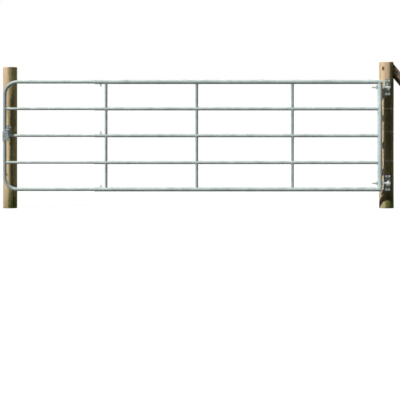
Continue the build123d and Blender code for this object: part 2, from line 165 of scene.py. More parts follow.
def blend(tree, amount, first, second):
    feeds = {0: amount, 6: opaque(first), 7: opaque(second)}
    return step(tree, "ShaderNodeMix", feeds, data_type="RGBA").outputs[2]


def ranged(tree, value, low, high, to_low=0.0, to_high=1.0):
    """Carries the range low to high over to to_low to to_high."""
    feeds = {0: value, 1: low, 2: high, 3: to_low, 4: to_high}
    return made(tree, "ShaderNodeMapRange", feeds)


def noise_at(tree, place, scale, detail, rough, distortion=0.0):
    feeds = {"Vector": place, "Scale": scale, "Detail": detail, "Roughness": rough}
    return made(tree, "ShaderNodeTexNoise", {**feeds, "Distortion": distortion})


def stretched(tree, scale, turn=(0.0, 0.0, 0.0)):
    """Object coordinates, turned and then scaled, for grain, runs and rings."""
    place = step(tree, "ShaderNodeTexCoord").outputs["Object"]
    feeds = {"Vector": place, "Rotation": turn, "Scale": [1 / part for part in scale]}
    return made(tree, "ShaderNodeMapping", feeds, vector_type="TEXTURE")


def new_finish(name):
    finish = bpy.data.materials.new(name)
    finish.use_nodes = True
    tree = finish.node_tree
    return finish, tree, tree.nodes["Principled BSDF"]


def feed_shader(tree, shader, colour, rough, height, distance, strength):
    """Colour, roughness and a bump from the height."""
    bump = made(tree, "ShaderNodeBump", {"Height": height, "Distance": distance, "Strength": strength})
    for source, label in ((colour, "Base Color"), (rough, "Roughness"), (bump, "Normal")):
        tree.links.new(source, shader.inputs[label])


# Galvanised finishes
rust = (0.20, 0.105, 0.05)
# Painted shade: a darker grey that stands in for the shade on the bent tube's upright end.
painted_shade_zinc = (0.14, 0.19, 0.18)
shade_fade_run = 0.07
zinc_gloss = 0.35


def galvanised(name, dull, bright, spangle_size, spangle, metallic, rough, stain=0.0, shade_below_x=None):
    """Hot-dip zinc with crystals, clouds, runs and fine pits, and, where asked, rust and a darker grey end of
    painted shade.
    """
    finish, tree, shader = new_finish(name)
    place = stretched(tree, (1.0, 1.0, 1.0))
    crystals = step(tree, "ShaderNodeTexVoronoi", {"Vector": place, "Scale": 1 / spangle_size})
    crystal_shade = made(tree, "ShaderNodeSeparateColor", {0: crystals.outputs["Color"]})
    clouds = noise_at(tree, place, 9.0, detail=4.0, rough=0.6)
    runs = noise_at(tree, stretched(tree, (12.0, 60.0, 60.0)), 1.0, detail=3.0, rough=0.55)
    pits = noise_at(tree, place, 900.0, detail=2.0, rough=0.6)
    mixed = plus(tree, times(tree, crystal_shade, spangle), clouds)
    mixed = plus(tree, mixed, times(tree, runs, 0.45))
    colour = blend(tree, ranged(tree, mixed, 0.55, 1.15), dull, bright)
    if stain:
        patches = noise_at(tree, place, 34.0, detail=6.0, rough=0.72)
        colour = blend(tree, ranged(tree, patches, 0.60, 0.74, 0.0, stain), colour, rust)
    # Painted shade: darker grey towards low X, the latch stile end of the bent tube.
    if shade_below_x is not None:
        across = made(tree, "ShaderNodeSeparateXYZ", {0: place})
        painted_shade_amount = ranged(tree, across, shade_below_x - shade_fade_run, shade_below_x, 0.55, 0.0)
        colour = blend(tree, painted_shade_amount, colour, painted_shade_zinc)
    shader.inputs["Metallic"].default_value = metallic
    shader.inputs["Specular IOR Level"].default_value = zinc_gloss
    roughness = ranged(tree, mixed, 0.5, 1.2, rough + 0.12, rough - 0.08)
    height = plus(tree, pits, times(tree, runs, 1.6))
    feed_shader(tree, shader, colour, roughness, height, distance=0.0004, strength=0.35)
    return finish


tube_zinc = {"dull": (0.43, 0.53, 0.52), "bright": (0.77, 0.87, 0.85)}
# Painted shade: the uprights are the rails' zinc made darker, standing in for the shade on upright tubes.
upright_shaded_zinc = {"dull": (0.26, 0.35, 0.34), "bright": (0.50, 0.61, 0.59)}
tube_spangle = {"spangle_size": 0.006, "spangle": 0.17, "metallic": 0.04}
plate_spangle = {"spangle_size": 0.008, "spangle": 0.28}
fine_spangle = {"spangle_size": 0.002, "spangle": 0.20}
tube_finish = galvanised("galvanised_tube", **tube_zinc, **tube_spangle, rough=0.40)
upright_shaded_finish = galvanised("galvanised_upright_painted_shade", **upright_shaded_zinc, **tube_spangle, rough=0.42)
# The bent tube's upright end at the latch gets the painted shade grey.
bent_finish = galvanised(
    "galvanised_bent_tube", **tube_zinc, **tube_spangle, rough=0.40, shade_below_x=latch_stile_x + 0.09)
# Painted shade: the hinge plates and striker are darker than their zinc, standing in for the shade they sit
# in; the rust stain is real.
fitting_shaded_finish = galvanised(
    "galvanised_fitting_painted_shade", (0.080, 0.115, 0.108), (0.26, 0.315, 0.30), **plate_spangle,
    metallic=0.25, rough=0.44, stain=0.35)
latch_finish = galvanised(
    "galvanised_latch", (0.17, 0.225, 0.235), (0.50, 0.58, 0.60), **plate_spangle,
    metallic=0.18, rough=0.40, stain=0.20)
bolt_finish = galvanised(
    "zinc_bolt", (0.36, 0.39, 0.39), (0.66, 0.70, 0.69), **fine_spangle,
    metallic=0.60, rough=0.36, stain=0.18)
weld_finish = galvanised(
    "zinc_weld", (0.36, 0.41, 0.40), (0.60, 0.66, 0.65), spangle_size=0.003, spangle=0.20,
    metallic=0.25, rough=0.50, stain=0.12)
wire_finish = galvanised(
    "fence_wire_zinc", (0.40, 0.42, 0.42), (0.66, 0.68, 0.67), **fine_spangle,
    metallic=0.50, rough=0.40, stain=0.20)

# Timber finishes
log_traits = ("knot", "check", "lee", "end_grain", "ring", "damp")
crack_dark = (0.035, 0.024, 0.014)
bleached = (0.48, 0.39, 0.29)
ring_dark, ring_pale, end_grey = (0.20, 0.155, 0.105), (0.47, 0.385, 0.27), (0.30, 0.29, 0.26)
knot_dark, knot_pale = (0.085, 0.045, 0.022), (0.25, 0.145, 0.075)
timber_gloss = 0.08


def sawn_end(tree, ring_r, broad):
    """Growth rings of a sawn end, grey in patches."""
    uneven = noise_at(tree, stretched(tree, (1.0, 1.0, 1.0)), 22.0, detail=3.0, rough=0.6)
    ring_place = plus(tree, ring_r, times(tree, uneven, 0.016))
    bands = reckon(tree, "PINGPONG", times(tree, ring_place, 190.0), 1.0)
    rings = reckon(tree, "SINE", plus(tree, times(tree, ring_place, 1500.0), bands))
    colour = blend(tree, ranged(tree, rings, -0.6, 0.9), ring_dark, ring_pale)
    return blend(tree, ranged(tree, broad, 0.35, 0.7, 0.0, 0.4), colour, end_grey)


def knot_wood(tree, knot):
    rings = reckon(tree, "SINE", times(tree, knot, 26.0))
    return blend(tree, ranged(tree, rings, -1.0, 1.0), knot_dark, knot_pale)


def timber(name, pale, dark, lee, damp, turn=(0.0, 0.0, 0.0)):
    """Round softwood with grain, streaks, cracks, knots, a green side that is part algae and part painted
    shade, and damp ends, which on the brace head are painted shadow.
    """
    finish, tree, shader = new_finish(name)
    knot, crack, green_and_shade_mask, sawn, ring_r, wet_and_shadow = [
        step(tree, "ShaderNodeAttribute", attribute_name=trait).outputs["Fac"] for trait in log_traits]
    warp = times(tree, knot, 0.020)
    round_knots = made(tree, "ShaderNodeCombineXYZ", {0: warp, 1: warp, 2: 0.0})
    along = {0: stretched(tree, (1.0, 1.0, 0.045), turn), 1: round_knots}
    along = made(tree, "ShaderNodeVectorMath", along, operation="ADD")
    grain = noise_at(tree, along, 260.0, detail=5.0, rough=0.62, distortion=0.35)
    streaks = noise_at(tree, along, 52.0, detail=4.0, rough=0.6, distortion=0.3)
    broad = noise_at(tree, stretched(tree, (1.0, 1.0, 0.22), turn), 13.0, detail=3.0, rough=0.55)
    speckle = noise_at(tree, stretched(tree, (1.0, 1.0, 0.5), turn), 70.0, detail=6.0, rough=0.7)
    tone = plus(tree, times(tree, grain, 0.42), times(tree, streaks, 0.58))
    side = blend(tree, ranged(tree, tone, 0.36, 0.64), dark, pale)
    side = blend(tree, ranged(tree, broad, 0.42, 0.70, 0.0, 0.42), side, bleached)
    colour = blend(tree, sawn, side, sawn_end(tree, ring_r, broad))
    colour = blend(tree, ranged(tree, knot, 0.34, 0.62), colour, knot_wood(tree, knot))
    # Painted shade: the green zone lies on the posts' dark side and in the stile's shadow, on top of real
    # algae green.
    green_growth_and_shade = times(tree, green_and_shade_mask, ranged(tree, speckle, 0.34, 0.60, 0.42, 1.0))
    green_and_shade_dark = tuple(0.42 * part for part in lee)
    green_and_shade_colour = blend(tree, ranged(tree, tone, 0.38, 0.60), green_and_shade_dark, lee)
    colour = blend(tree, green_growth_and_shade, colour, green_and_shade_colour)
    # Damp colour: real wet at the post feet and the brace foot, and painted shadow at the brace head.
    soaked_and_shaded = times(tree, wet_and_shadow, ranged(tree, speckle, 0.30, 0.58, 0.35, 1.0))
    # The damp is made darker inside the green zone, which is painted shade as well.
    soaked_and_shaded = times(tree, soaked_and_shaded, ranged(tree, green_and_shade_mask, 0.0, 1.0, 0.6, 1.25))
    colour = blend(tree, soaked_and_shaded, colour, damp)
    colour = blend(tree, crack, colour, crack_dark)
    shader.inputs["Specular IOR Level"].default_value = timber_gloss
    roughness = ranged(tree, tone, 0.3, 0.7, 0.92, 0.72)
    height = plus(tree, grain, times(tree, streaks, 1.4))
    feed_shader(tree, shader, colour, roughness, height, distance=0.0016, strength=0.8)
    return finish


# The posts' green colour is part algae and part painted shade on their dark sides.
post_finish = timber(
    "post_timber", pale=(0.88, 0.70, 0.46), dark=(0.57, 0.405, 0.24), lee=(0.43, 0.39, 0.145),
    damp=(0.12, 0.145, 0.035))
# The brace's damp colour is nearly black: a real stain at the foot, and painted shadow of the post at the
# head.
brace_finish = timber(
    "brace_timber", pale=(0.66, 0.54, 0.40), dark=(0.38, 0.285, 0.19), lee=(0.22, 0.185, 0.08),
    damp=(0.016, 0.014, 0.007), turn=(0.0, brace_angle - pi / 2, 0.0))

# The tubes' finish goes on every CAD node but these
bolts = (
    "eye_bolts", "eye_bolt_nuts", "hinge_pins", "lock_screws", "lock_nuts", "latch_bracket_bolts",
    "latch_pivot_pin")
finish_of = dict.fromkeys(nodes, tube_finish)
for names, finish in (
        (bolts, bolt_finish), (("hinge_plates", "latch_striker"), fitting_shaded_finish),
        (("latch_bracket", "latch_hook"), latch_finish), (uprights, upright_shaded_finish),
        (("hinge_post", "latch_post"), post_finish), (("hinge_post_brace",), brace_finish),
        (("extension_frame",), bent_finish)):
    finish_of.update(dict.fromkeys(names, finish))
for name, node in nodes.items():
    node.data.materials.clear()
    node.data.materials.append(finish_of[name])


# Making pieces
def put(name, mesh):
    """A new object in the scene."""
    piece = bpy.data.objects.new(name, mesh)
    scene.collection.objects.link(piece)
    return piece


def made_plain(maker):
    """The maker's mesh with its modifiers worked in. The maker itself goes."""
    bpy.context.view_layer.update()
    graph = bpy.context.evaluated_depsgraph_get()
    mesh = bpy.data.meshes.new_from_object(maker.evaluated_get(graph), depsgraph=graph)
    maker.modifiers.clear()
    bpy.data.objects.remove(maker)
    return mesh


# Timber
def opened(crack, level):
    """How wide a crack is open at a level, from 0 to 1. It closes towards both ends."""
    low, high = crack[1:3]
    if not low < level < high:
        return 0.0
    part = (level - low) / (high - low)
    return min(1.0, 5.0 * min(part, 1.0 - part)) ** 0.6


def bridge(first, second):
    """Faces between two rings of points, of which the second is further along."""
    return list(zip(first, first[1:] + first[:1], second[1:] + second[:1], second))


class Log:
    """A round timber. Levels run along it, and place turns (radius, angle, level) into a point.
    Cracks are (angle, low, high, depth, half width), with fill columns of points between them,
    and knots (angle, level, size). The lee_zone is the run of angles that is green,
    part algae and part painted shade; damp_at says how wet a level is, and on the
    brace also paints the post's shadow at the head; and trim cuts the flats."""

    lips = ("left", "deep", "right")
    end_rings = (0.985, 0.95, 0.9, 0.82, 0.72, 0.6, 0.46, 0.3, 0.14)

    def __init__(self, seed, radius, levels, place, cracks, knots, fill, lee_zone, damp_at, trim):
        self.seed, self.radius, self.levels, self.place = seed, radius, levels, place
        self.cracks, self.knots, self.fill = cracks, knots, fill
        self.lee_zone, self.damp_at, self.trim = lee_zone, damp_at, trim
        self.columns = [(number, kind) for number in range(len(cracks))
                        for kind in (*self.lips, *range(1, fill + 1))]
        self.points, self.traits = [], []

    def angles_at(self, level):
        """The columns' angles: cracks sway along the log, and the others keep between them."""
        edges = []
        for number, crack in enumerate(self.cracks):
            sway = 0.10 * noise.noise(Vector((self.seed + 7.3 * number, level * 1.7, 0.0)))
            sway += 0.018 * noise.noise(Vector((self.seed + 3.1 * number, level * 16.0, 5.0)))
            half = (0.0004 + crack[4] * opened(crack, level)) / self.radius
            edges.append((crack[0] + sway - half, crack[0] + sway, crack[0] + sway + half))
        found = []
        for number, kind in self.columns:
            if kind in self.lips:
                found.append(edges[number][self.lips.index(kind)])
                continue
            start, after = edges[number][2], edges[(number + 1) % len(edges)][0]
            if number == len(edges) - 1:
                after += full_turn
            found.append(start + (after - start) * kind / (self.fill + 1))
        return found

    def skin(self, angle, level):
        """How far the skin lies under the full radius, and how much of a knot is there."""
        round_at = Vector((cos(angle), sin(angle), 0.0))
        belly = noise.noise(round_at * 0.8 + Vector((0, 0, level * 1.6 + self.seed)))
        lumps = noise.noise(round_at * 2.6 + Vector((self.seed, 0, level * 7.0)))
        fibre = noise.noise(round_at * 26.0 + Vector((0, self.seed, level * 5.0)))
        drop = 0.0016 + 0.0011 * belly + 0.0006 * lumps + 0.00035 * fibre
        knot = 0.0
        for knot_angle, knot_level, size in self.knots:
            apart = (angle - knot_angle + pi) % full_turn - pi
            away = (self.radius * apart) ** 2 + (0.75 * (level - knot_level)) ** 2
            knot = max(knot, exp(-away / size ** 2))
        return max(0.0003, drop - 0.0014 * knot ** 2), knot

    def add_row(self, level):
        """The points round the side at a level, and their traits."""
        green_and_shade_start, green_and_shade_stop = self.lee_zone(level)
        for angle, (number, kind) in zip(self.angles_at(level), self.columns):
            drop, knot = self.skin(angle, level)
            deep = opened(self.cracks[number], level) if kind == "deep" else 0.0
            drop += self.cracks[number][3] * deep
            r = self.trim(self.radius - drop, angle, level)
            # How far a point lies in the green zone, which is part algae and part painted shade.
            wave = 0.14 * noise.noise(Vector((level * 4.0, self.seed, angle)))
            into = (angle - green_and_shade_start) % full_turn + wave
            lee = min(1.0, max(0.0, min(into, green_and_shade_stop - green_and_shade_start - into) / 0.24))
            self.points.append(self.place(r, angle, level))
            self.traits.append((knot, deep, lee, 0.0, r, self.damp_at(level)))

    def end_faces(self, rim, end, outward):
        """Sawn end: rings of points in to the middle, with cracks running a little way in."""
        faces, angles = [], self.angles_at(end)
        for inset in self.end_rings:
            ring = []
            for angle, (number, kind) in zip(angles, self.columns):
                edge = self.trim(self.radius - self.skin(angle, end)[0], angle, end)
                crack = self.cracks[number]
                reach = 55.0 * crack[3] * opened(crack, end - outward * 0.03)
                split = kind == "deep" and inset > 1.0 - reach
                saw = 0.0003 * noise.noise(Vector((cos(angle) * inset * 18.0, self.seed, 0.0)))
                sink = (0.006 if split else 0.0) + 0.0002 + abs(saw)
                ring.append(len(self.points))
                self.points.append(self.place(edge * inset, angle, end - outward * sink))
                self.traits.append((0.0, float(split), 0.25, 1.0, edge * inset, 0.0))
            faces += [face[::outward] for face in bridge(rim, ring)]
            rim = ring
        centre = len(self.points)
        self.points.append(self.place(0.0, 0.0, end - outward * 0.0003))
        self.traits.append((0.0, 0.0, 0.25, 1.0, 0.0, 0.0))
        pairs = zip(rim, rim[1:] + rim[:1])
        return faces + [(a, b, centre) if outward > 0 else (b, a, centre) for a, b in pairs]

    def piece(self, name):
        """The whole log, with its traits as attributes for the finish."""
        for level in self.levels:
            self.add_row(level)
        wide = len(self.columns)
        rows = [list(range(row * wide, (row + 1) * wide)) for row in range(len(self.levels))]
        faces = [face for first, second in zip(rows, rows[1:]) for face in bridge(first, second)]
        faces += self.end_faces(rows[-1], self.levels[-1], 1)
        faces += self.end_faces(rows[0], self.levels[0], -1)
        mesh = bpy.data.meshes.new(name)
        mesh.from_pydata(self.points, [], faces)
        for trait, values in zip(log_traits, zip(*self.traits)):
            mesh.attributes.new(trait, "FLOAT", "POINT").data.foreach_set("value", list(values))
        mesh.validate()
        mesh.shade_smooth()
        return put(name, mesh)


def add_timber(name, node, log):
    """A log in the place of its CAD node."""
    piece = log.piece(name)
    piece.data.materials.append(finish_of[node])
    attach(piece, "posts")
    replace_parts(piece, node)


level_pitch = 0.0045
worn_round, worn_run = 0.006, 0.0062
flat_margin = 0.002
tuck = 0.0003  # how far a flat lies behind what sits on it
plate_half = plate_height / 2 + flat_margin
striker_half = (striker_high.z - striker_low.z) / 2 + flat_margin
brace_top = Vector((brace_seat_x, 0.0, hinge_post_h - brace_drop))
seat_foot = brace_top.z - brace_r / cos(brace_angle)
seat_foot = seat_foot - (hinge_post_r - brace_seat_x) * tan(brace_angle) - flat_margin
green_and_shade_back_end = 1.75


def post_levels(height, edges):
    """Levels up a post, with a pair at each edge of a flat and close ones at the worn top."""
    count = round(height / level_pitch)
    found = [height * i / count for i in range(count)]
    for edge in edges:
        found = [level for level in found if abs(level - edge) > 0.4 * level_pitch]
        found += [edge - 0.0002, edge + 0.0002]
    found += [height - drop for drop in (worn_round, 0.0045, 0.0028, 0.0012)] + [height]
    return sorted(set(found))


def worn_edge(r, radius, level, height):
    """The top edge of a post is rounded over."""
    rise = level - (height - worn_round)
    if rise <= 0:
        return r
    rounded = worn_round * (1 - sqrt(max(0.0, 1 - (rise / worn_run) ** 2)))
    return min(r, radius - 0.0008 - rounded - 0.25 * rise)


def cut_flat(r, towards, distance):
    """Keeps a point behind a flat. Towards is how far its direction faces the flat."""
    return min(r, distance / towards) if towards > 0.1 else r


def trim_hinge_post(r, angle, level):
    r = worn_edge(r, hinge_post_r, level, hinge_post_h)
    if any(abs(level - eye) < plate_half for eye in eye_levels):
        r = cut_flat(r, -sin(angle), -plate_back_y - tuck)
    if level > seat_foot:
        r = cut_flat(r, cos(angle), brace_seat_x - tuck)
    return r


def trim_latch_post(r, angle, level):
    r = worn_edge(r, latch_post_r, level, latch_post_h)
    if abs(level - striker_z) < striker_half:
        r = cut_flat(r, -sin(angle), -striker_back_y - tuck)
    return r


def upright_place(centre_x):
    return lambda r, angle, level: Vector((centre_x + r * cos(angle), r * sin(angle), level))


def eased_step(value, low, high):
    part = min(1.0, max(0.0, (value - low) / (high - low)))
    return part * part * (3 - 2 * part)


def green_and_shade_from(start, less, low, high):
    """Part algae green and part painted shade, from front to back, and less of it from the low level to the
    high one; the wider zone low down paints the stile's shadow.
    """
    return lambda level: (start + less * eased_step(level, low, high), green_and_shade_back_end)


def post_damp(level):
    """Wet at the ground and dry from 0.3 m up."""
    return 1.15 * max(0.0, 1.0 - level / 0.30) ** 1.3


# Cracks that run out at an end of the log reach a little past it
hinge_out, latch_out, foot_out = 1.4535, 1.4035, -0.01
hinge_cracks = [
    (-2.8, 0.3, hinge_out, 0.01, 0.0016), (-2.3, 0.1, 0.74, 0.007, 0.001),
    (-1.86, 0.96, hinge_out, 0.009, 0.0013), (-1.45, 0.44, 0.98, 0.007, 0.001),
    (-1.02, foot_out, 0.62, 0.008, 0.0012), (-0.58, 0.7, hinge_out, 0.011, 0.0016),
    (0.1, 0.1, 0.85, 0.006, 0.001), (0.85, 0.45, hinge_out, 0.012, 0.0018),
    (1.65, foot_out, 0.95, 0.008, 0.0012), (2.2, 0.62, hinge_out, 0.01, 0.0014),
    (2.8, 0.25, 1.1, 0.007, 0.001)]
latch_cracks = [
    (-2.75, foot_out, 0.86, 0.009, 0.0014), (-2.35, 0.62, latch_out, 0.01, 0.0015),
    (-1.9, 0.86, 1.3, 0.007, 0.001), (-1.5, 0.05, 0.6, 0.008, 0.0012),
    (-1.05, 0.84, latch_out, 0.009, 0.0013), (-0.35, 0.35, 1.2, 0.01, 0.0015),
    (0.5, foot_out, 0.75, 0.007, 0.001), (1.1, 0.4, latch_out, 0.012, 0.0017),
    (1.8, 0.05, 0.9, 0.008, 0.0012), (2.4, 0.74, latch_out, 0.01, 0.0014),
    (2.95, 0.3, 1.0, 0.006, 0.0009)]
hinge_knots = [
    (-2.2, 1.385, 0.017), (-2.45, 0.93, 0.014), (-0.95, 0.6, 0.016), (-1.7, 0.395, 0.013),
    (0.55, 1.02, 0.018), (1.2, 0.3, 0.015), (2.2, 0.72, 0.018), (2.9, 1.25, 0.014), (3.05, 0.13, 0.015)]
latch_knots = [
    (-2.35, 0.985, 0.016), (-1.2, 1.13, 0.014), (-2.0, 0.335, 0.015), (-0.7, 0.83, 0.013),
    (0.8, 0.52, 0.017), (1.7, 1.2, 0.018), (2.5, 0.41, 0.015), (3.0, 0.9, 0.014)]

hinge_flats = [eye + side * plate_half for eye in eye_levels for side in (-1, 1)] + [seat_foot]
latch_flats = [striker_z - striker_half, striker_z + striker_half]
on_hinge_post = upright_place(0.0)
add_timber("hinge_post_timber", "hinge_post", Log(
    seed=3.7, radius=hinge_post_r, levels=post_levels(hinge_post_h, hinge_flats), place=on_hinge_post,
    cracks=hinge_cracks, knots=hinge_knots, fill=10, lee_zone=green_and_shade_from(-1.98, 0.60, 1.06, 1.20),
    damp_at=post_damp, trim=trim_hinge_post))
add_timber("latch_post_timber", "latch_post", Log(
    seed=9.1, radius=latch_post_r, levels=post_levels(latch_post_h, latch_flats),
    place=upright_place(latch_post_x), cracks=latch_cracks, knots=latch_knots, fill=10,
    lee_zone=green_and_shade_from(-1.78, 0.18, 0.95, 1.25), damp_at=post_damp, trim=trim_latch_post))

# The brace leans on the flat of the hinge post and is cut level at the ground
brace_dir = Vector((cos(brace_angle), 0.0, -sin(brace_angle)))
brace_up = Vector((sin(brace_angle), 0.0, cos(brace_angle)))
brace_length = brace_top.z / sin(brace_angle)
brace_rows = 380


def brace_place(r, angle, level):
    """Level 0 is the ground and the full length the post; both ends are cut to what they meet."""
    aside = brace_up * (r * cos(angle)) + back * (r * sin(angle))
    head = -aside.x / brace_dir.x
    foot = brace_length + aside.z / -brace_dir.z
    return brace_top + aside + brace_dir * (foot + (head - foot) * level / brace_length)


def brace_shadow_and_damp(level):
    """Nearly black at the head, as painted shadow of the post, and stained at the ground."""
    head, foot = (brace_length - level) / 0.15, level / 0.2
    return max(2.3 * max(0.0, 1.0 - head) ** 0.9, max(0.0, 1.0 - foot))


brace_cracks = [
    (-2.5, 0.62, 1.85, 0.008, 0.0012), (-1.5, -0.02, 0.98, 0.007, 0.001), (-0.4, 0.36, 1.6, 0.009, 0.0013),
    (0.8, 0.9, 1.85, 0.007, 0.001), (1.9, 0.09, 1.25, 0.008, 0.0012)]
brace_knots = [
    (-1.2, 1.46, 0.013), (0.3, 0.75, 0.014), (-2.2, 0.39, 0.012), (2.3, 1.12, 0.014), (-0.6, 0.23, 0.013)]
# The brace's underside is painted green and dark, part algae and part painted shade.
add_timber("brace_timber", "hinge_post_brace", Log(
    seed=14.2, radius=brace_r, levels=[brace_length * i / brace_rows for i in range(brace_rows + 1)],
    place=brace_place, cracks=brace_cracks, knots=brace_knots, fill=16,
    lee_zone=lambda level: (green_and_shade_back_end, full_turn - 1.9), damp_at=brace_shadow_and_damp,
    trim=lambda r, angle, level: r))


# Geometry trees
def geometry_tree(name, sizes):
    """A tree with one mesh in, one mesh out, the named sizes, a seed and a finish."""
    tree = bpy.data.node_groups.new(name, "GeometryNodeTree")
    tree.interface.new_socket("Geometry", in_out="OUTPUT", socket_type="NodeSocketGeometry")
    numbers = [(size, "Float") for size in sizes]
    for label, kind in [("Geometry", "Geometry"), *numbers, ("Seed", "Int"), ("Finish", "Material")]:
        tree.interface.new_socket(label, in_out="INPUT", socket_type="NodeSocket" + kind)
    return tree, tree.nodes.new("NodeGroupInput").outputs


def end_tree(tree, given, geometry, smooth):
    """Realises the instances, sets the finish and hands the mesh out."""
    plain = made(tree, "GeometryNodeRealizeInstances", {"Geometry": geometry})
    shaded = made(tree, "GeometryNodeSetShadeSmooth", {"Geometry": plain, "Shade Smooth": smooth})
    feeds = {"Geometry": shaded, "Material": given["Finish"]}
    step(tree, "NodeGroupOutput", {0: made(tree, "GeometryNodeSetMaterial", feeds)})


def grow(tree, name, base, values, body):
    """Runs a tree on a base mesh and keeps the result as a plain piece on a body."""
    maker = put(name + "_maker", base)
    modifier = maker.modifiers.new(tree.name, "NODES")
    modifier.node_group = tree
    for item in tree.interface.items_tree:
        if item.item_type == "SOCKET" and item.in_out == "INPUT" and item.name in values:
            modifier[item.identifier] = values[item.name]
    mesh = made_plain(maker)
    mesh.name = name
    piece = put(name, mesh)
    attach(piece, body)
    return piece


def weld_tree():
    """A rippled bead along every edge path, or a plain wire where the ripple is 0."""
    tree, given = geometry_tree("bead_along_paths", (
        "Bead Radius", "Ripple Pitch", "Ripple Depth", "Point Pitch"))
    path = made(tree, "GeometryNodeMeshToCurve", {"Mesh": given["Geometry"]})
    feeds = {"Curve": path, "Length": given["Point Pitch"]}
    path = made(tree, "GeometryNodeResampleCurve", feeds, mode="LENGTH")
    run = step(tree, "GeometryNodeSplineParameter").outputs["Length"]
    wave = reckon(tree, "SINE", times(tree, reckon(tree, "DIVIDE", run, given["Ripple Pitch"]), full_turn))
    feeds = {"Scale": 160.0, "Detail": 1.0, "W": given["Seed"]}
    lump = made(tree, "ShaderNodeTexNoise", feeds, noise_dimensions="4D")
    lump = times(tree, reckon(tree, "SUBTRACT", lump, 0.5), 2.0)
    width = plus(tree, times(tree, plus(tree, wave, lump), given["Ripple Depth"]), 1.0)
    feeds = {"Resolution": 8, "Radius": given["Bead Radius"]}
    ring = made(tree, "GeometryNodeCurvePrimitiveCircle", feeds)
    feeds = {"Curve": path, "Profile Curve": ring, "Scale": width, "Fill Caps": True}
    end_tree(tree, given, made(tree, "GeometryNodeCurveToMesh", feeds), smooth=True)
    return tree


def facing_rotation(tree, given, spun):
    """Aims Z along the point's facing and, where spun, turns about that by the seed."""
    facing = made(tree, "GeometryNodeInputNamedAttribute", {"Name": "facing"}, data_type="FLOAT_VECTOR")
    aimed = made(tree, "FunctionNodeAlignRotationToVector", {"Vector": facing}, axis="Z")
    if not spun:
        return aimed
    feeds = {2: 0.0, 3: full_turn, "Seed": given["Seed"]}
    spin = step(tree, "FunctionNodeRandomValue", feeds, data_type="FLOAT").outputs[1]
    about = made(tree, "FunctionNodeAxisAngleToRotation", {"Axis": (0.0, 0.0, 1.0), "Angle": spin})
    feeds = {"Rotation": aimed, "Rotate By": about}
    return made(tree, "FunctionNodeRotateRotation", feeds, rotation_space="LOCAL")


def stand_on_points(tree, given, shape, spun, smooth):
    """Ends a tree with the shape on every point, along the point's facing."""
    feeds = {"Points": given["Geometry"], "Instance": shape, "Rotation": facing_rotation(tree, given, spun)}
    end_tree(tree, given, made(tree, "GeometryNodeInstanceOnPoints", feeds), smooth)


def lifted(tree, geometry, height):
    move = made(tree, "ShaderNodeCombineXYZ", {2: height})
    return made(tree, "GeometryNodeTransform", {"Geometry": geometry, "Translation": move})


def screw_head_tree():
    """Hexagon head with broken corners on a round washer, at each point, along its facing."""
    tree, given = geometry_tree("hexagon_heads", (
        "Across Flats", "Head Height", "Chamfer", "Washer Radius", "Washer Thickness"))
    corner = times(tree, given["Across Flats"], 1 / sqrt(3))
    plain_height = reckon(tree, "SUBTRACT", given["Head Height"], given["Chamfer"])
    head = step(tree, "GeometryNodeMeshCylinder", {"Vertices": 6, "Radius": corner, "Depth": plain_height})
    feeds = {"Mesh": head.outputs["Mesh"], "Selection": head.outputs["Top"], "Offset Scale": given["Chamfer"]}
    top = step(tree, "GeometryNodeExtrudeMesh", feeds)
    feeds = {"Geometry": top.outputs["Mesh"], "Selection": top.outputs["Top"], "Scale": 0.86}
    head = made(tree, "GeometryNodeScaleElements", feeds)
    head = lifted(tree, head, plus(tree, times(tree, plain_height, 0.5), given["Washer Thickness"]))
    feeds = {"Vertices": 28, "Radius": given["Washer Radius"], "Depth": given["Washer Thickness"]}
    washer = made(tree, "GeometryNodeMeshCylinder", feeds)
    washer = lifted(tree, washer, times(tree, given["Washer Thickness"], 0.5))
    both = step(tree, "GeometryNodeJoinGeometry")
    for part in (head, washer):
        tree.links.new(part, both.inputs[0])
    stand_on_points(tree, given, both.outputs[0], spun=True, smooth=False)
    return tree


def rolled_sheet(tree, sheet, run, turn, round_r):
    """Rolls a flat grid round the Z axis, closes its seam and turns its faces outward."""
    across = times(tree, round_r, reckon(tree, "COSINE", turn))
    over = times(tree, round_r, reckon(tree, "SINE", turn))
    place = made(tree, "ShaderNodeCombineXYZ", {0: across, 1: over, 2: run})
    rolled = made(tree, "GeometryNodeSetPosition", {"Geometry": sheet, "Position": place})
    feeds = {"Geometry": rolled, "Distance": 0.00001}
    seamless = made(tree, "GeometryNodeMergeByDistance", feeds)
    return made(tree, "GeometryNodeFlipFaces", {"Mesh": seamless})


